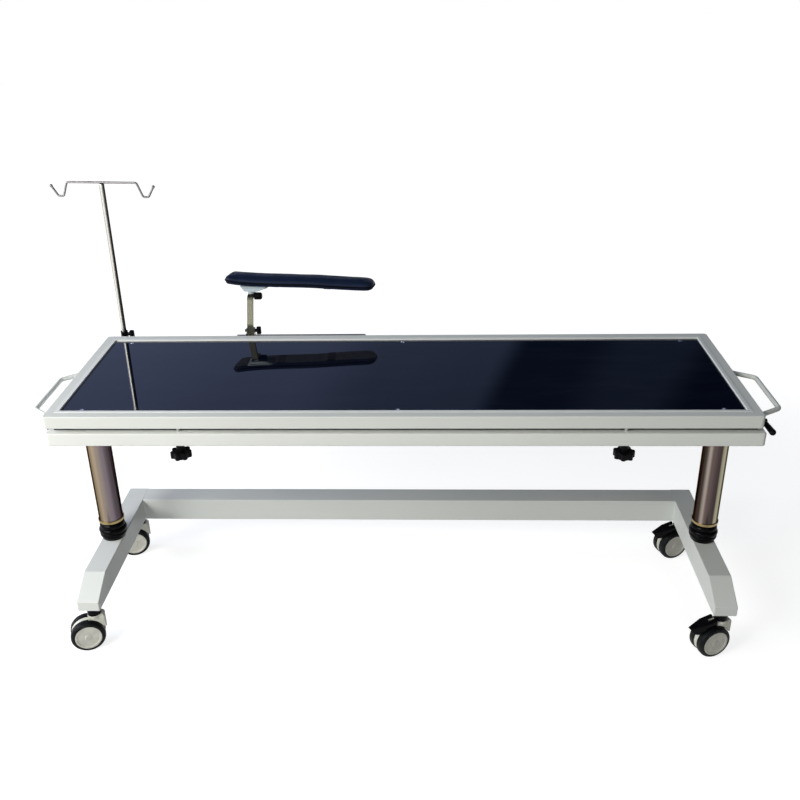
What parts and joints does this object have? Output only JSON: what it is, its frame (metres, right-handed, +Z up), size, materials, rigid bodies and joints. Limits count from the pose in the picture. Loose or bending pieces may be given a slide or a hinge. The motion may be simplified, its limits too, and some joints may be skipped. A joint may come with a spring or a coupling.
{
  "type": "radiography table",
  "caption": "Height-adjustable floating radiography table with a glossy board, wheeled U-shaped base, infusion pole and clamped arm rest.",
  "frame": {"origin": "on the floor under the middle of the whole object's box", "axes": "+X along the table towards the end away from the infusion pole, +Y to the rear edge that carries the pole and arm rest, +Z up"},
  "size_m": [2.2, 0.8552, 1.3048],
  "materials": {
    "white_paint": "satin powder coat",
    "navy_board": "high gloss",
    "screw_steel": "bright",
    "bright_steel": "polished",
    "column_steel": "polished, warm tint",
    "bronze": "turned",
    "black_plastic": "moulded",
    "black_rubber": "satin",
    "hood_plastic": "moulded",
    "disc_plastic": "moulded",
    "tread": "smooth",
    "navy_vinyl": "soft vinyl over foam",
    "strap_web": "woven"
  },
  "bodies": {
    "base": {"base_crossbar": "white_paint", "base_leg_left": "white_paint", "base_leg_right": "white_paint", "column_cores": "bright_steel", "castor_collars": "black_plastic", "bellows_left": "black_rubber", "bellows_right": "black_rubber"},
    "lift_frame": {"column_tube_left": "column_steel", "column_tube_right": "column_steel", "column_bushes": "bronze", "column_heads": "white_paint", "lower_rail_front": "white_paint", "lower_rail_rear": "white_paint", "lower_end_members": "white_paint", "lower_mid_members": "white_paint", "glide_blocks": "black_plastic", "lever_bearings": "black_plastic"},
    "table_top": {"top_rail_front": "white_paint", "top_rail_rear": "white_paint", "top_rail_left": "white_paint", "top_rail_right": "white_paint", "board": "navy_board", "board_edging": "white_paint", "board_screws": "screw_steel", "push_handle_left": "white_paint", "push_handle_right": "white_paint", "runner_strips": "bright_steel", "side_rail": "bright_steel", "rail_standoffs": "bright_steel", "pole_socket": "bright_steel"},
    "lock_lever_left": {"lock_lever_left": "black_plastic"},
    "lock_lever_right": {"lock_lever_right": "black_plastic"},
    "clamp_knob_left": {"clamp_knob_left": "black_plastic"},
    "clamp_knob_right": {"clamp_knob_right": "black_plastic"},
    "pole": {"infusion_pole": "bright_steel", "pole_hooks": "bright_steel"},
    "pole_knob": {"pole_knob": "black_plastic"},
    "arm_clamp": {"arm_clamp": "bright_steel"},
    "arm_clamp_screw": {"arm_clamp_screw": "black_plastic"},
    "arm_post": {"arm_post": "bright_steel"},
    "arm_rest": {"arm_plate": "white_paint", "arm_pad": "navy_vinyl", "arm_straps": "strap_web"},
    "arm_knob": {"arm_knob": "black_plastic"},
    "castor_front_left": {"castor_hood_front_left": "hood_plastic"},
    "castor_front_left_wheels": {"castor_wheels_front_left": "disc_plastic", "castor_tyres_front_left": "tread"},
    "castor_front_right": {"castor_hood_front_right": "hood_plastic"},
    "castor_front_right_wheels": {"castor_wheels_front_right": "disc_plastic", "castor_tyres_front_right": "tread"},
    "brake_pedal_front_right": {"brake_pedal_front_right": "black_plastic"},
    "castor_rear_left": {"castor_hood_rear_left": "hood_plastic"},
    "castor_rear_left_wheels": {"castor_wheels_rear_left": "disc_plastic", "castor_tyres_rear_left": "tread"},
    "castor_rear_right": {"castor_hood_rear_right": "hood_plastic"},
    "castor_rear_right_wheels": {"castor_wheels_rear_right": "disc_plastic", "castor_tyres_rear_right": "tread"},
    "brake_pedal_rear_right": {"brake_pedal_rear_right": "black_plastic"}
  },
  "joints": [
    {"name": "column_lift", "type": "slide", "parent": "base", "child": "lift_frame", "axis": [0, 0, 1], "range_m": [0, 0.16], "deforming": ["bellows_left", "bellows_right"]},
    {"name": "table_float", "type": "slide", "parent": "lift_frame", "child": "table_top", "axis": [1, 0, 0], "range_m": [-0.15, 0.15]},
    {"name": "lock_lever_left_turn", "type": "hinge", "parent": "lift_frame", "child": "lock_lever_left", "pos_m": [-0.9695, -0.2944, 0.742], "axis": [1, 0, 0], "range_deg": [-90, 5]},
    {"name": "lock_lever_right_turn", "type": "hinge", "parent": "lift_frame", "child": "lock_lever_right", "pos_m": [1.0405, -0.2944, 0.742], "axis": [1, 0, 0], "range_deg": [0, 95]},
    {"name": "clamp_knob_left_turn", "type": "hinge", "parent": "lift_frame", "child": "clamp_knob_left", "pos_m": [-0.5905, -0.3409, 0.665], "axis": [0, 0, 1], "continuous": true},
    {"name": "clamp_knob_right_turn", "type": "hinge", "parent": "lift_frame", "child": "clamp_knob_right", "pos_m": [0.6615, -0.3409, 0.665], "axis": [0, 0, 1], "continuous": true},
    {"name": "castor_front_left_swivel", "type": "hinge", "parent": "base", "child": "castor_front_left", "pos_m": [-0.92, -0.3724, 0.135], "axis": [0, 0, 1], "continuous": true},
    {"name": "castor_front_left_roll", "type": "hinge", "parent": "castor_front_left", "child": "castor_front_left_wheels", "pos_m": [-0.94631, -0.38198, 0.0525], "axis": [-0.342, 0.9397, 0], "continuous": true},
    {"name": "castor_front_right_swivel", "type": "hinge", "parent": "base", "child": "castor_front_right", "pos_m": [0.991, -0.3724, 0.135], "axis": [0, 0, 1], "continuous": true},
    {"name": "castor_front_right_roll", "type": "hinge", "parent": "castor_front_right", "child": "castor_front_right_wheels", "pos_m": [0.96469, -0.38198, 0.0525], "axis": [-0.342, 0.9397, 0], "continuous": true},
    {"name": "brake_pedal_front_right_press", "type": "hinge", "parent": "castor_front_right", "child": "brake_pedal_front_right", "pos_m": [0.95905, -0.38403, 0.113], "axis": [-0.342, 0.9397, 0], "range_deg": [-3, 0]},
    {"name": "castor_rear_left_swivel", "type": "hinge", "parent": "base", "child": "castor_rear_left", "pos_m": [-0.92, 0.1346, 0.135], "axis": [0, 0, 1], "continuous": true},
    {"name": "castor_rear_left_roll", "type": "hinge", "parent": "castor_rear_left", "child": "castor_rear_left_wheels", "pos_m": [-0.94631, 0.12502, 0.0525], "axis": [-0.342, 0.9397, 0], "continuous": true},
    {"name": "castor_rear_right_swivel", "type": "hinge", "parent": "base", "child": "castor_rear_right", "pos_m": [0.991, 0.1346, 0.135], "axis": [0, 0, 1], "continuous": true},
    {"name": "castor_rear_right_roll", "type": "hinge", "parent": "castor_rear_right", "child": "castor_rear_right_wheels", "pos_m": [0.96469, 0.12502, 0.0525], "axis": [-0.342, 0.9397, 0], "continuous": true},
    {"name": "brake_pedal_rear_right_press", "type": "hinge", "parent": "castor_rear_right", "child": "brake_pedal_rear_right", "pos_m": [0.95905, 0.12297, 0.113], "axis": [-0.342, 0.9397, 0], "range_deg": [-3, 0]},
    {"name": "pole_turn", "type": "hinge", "parent": "table_top", "child": "pole", "pos_m": [-0.924, 0.2856, 0.784], "axis": [0, 0, 1], "continuous": true},
    {"name": "pole_knob_turn", "type": "hinge", "parent": "table_top", "child": "pole_knob", "pos_m": [-0.912, 0.2856, 0.784], "axis": [1, 0, 0], "continuous": true},
    {"name": "arm_clamp_slide", "type": "slide", "parent": "table_top", "child": "arm_clamp", "axis": [1, 0, 0], "range_m": [-0.005, 0.33]},
    {"name": "arm_clamp_screw_turn", "type": "hinge", "parent": "arm_clamp", "child": "arm_clamp_screw", "pos_m": [-0.473, 0.282, 0.796], "axis": [1, 0, 0], "continuous": true},
    {"name": "arm_post_height", "type": "slide", "parent": "arm_clamp", "child": "arm_post", "axis": [0, 0, 1], "range_m": [-0.008, 0.04]},
    {"name": "arm_rest_swivel", "type": "hinge", "parent": "arm_post", "child": "arm_rest", "pos_m": [-0.487, 0.3516, 0.908], "axis": [0, 0, 1], "range_deg": [-95, 10]},
    {"name": "arm_knob_turn", "type": "hinge", "parent": "arm_post", "child": "arm_knob", "pos_m": [-0.477, 0.334, 0.9005], "axis": [1, 0, 0], "continuous": true}
  ]
}
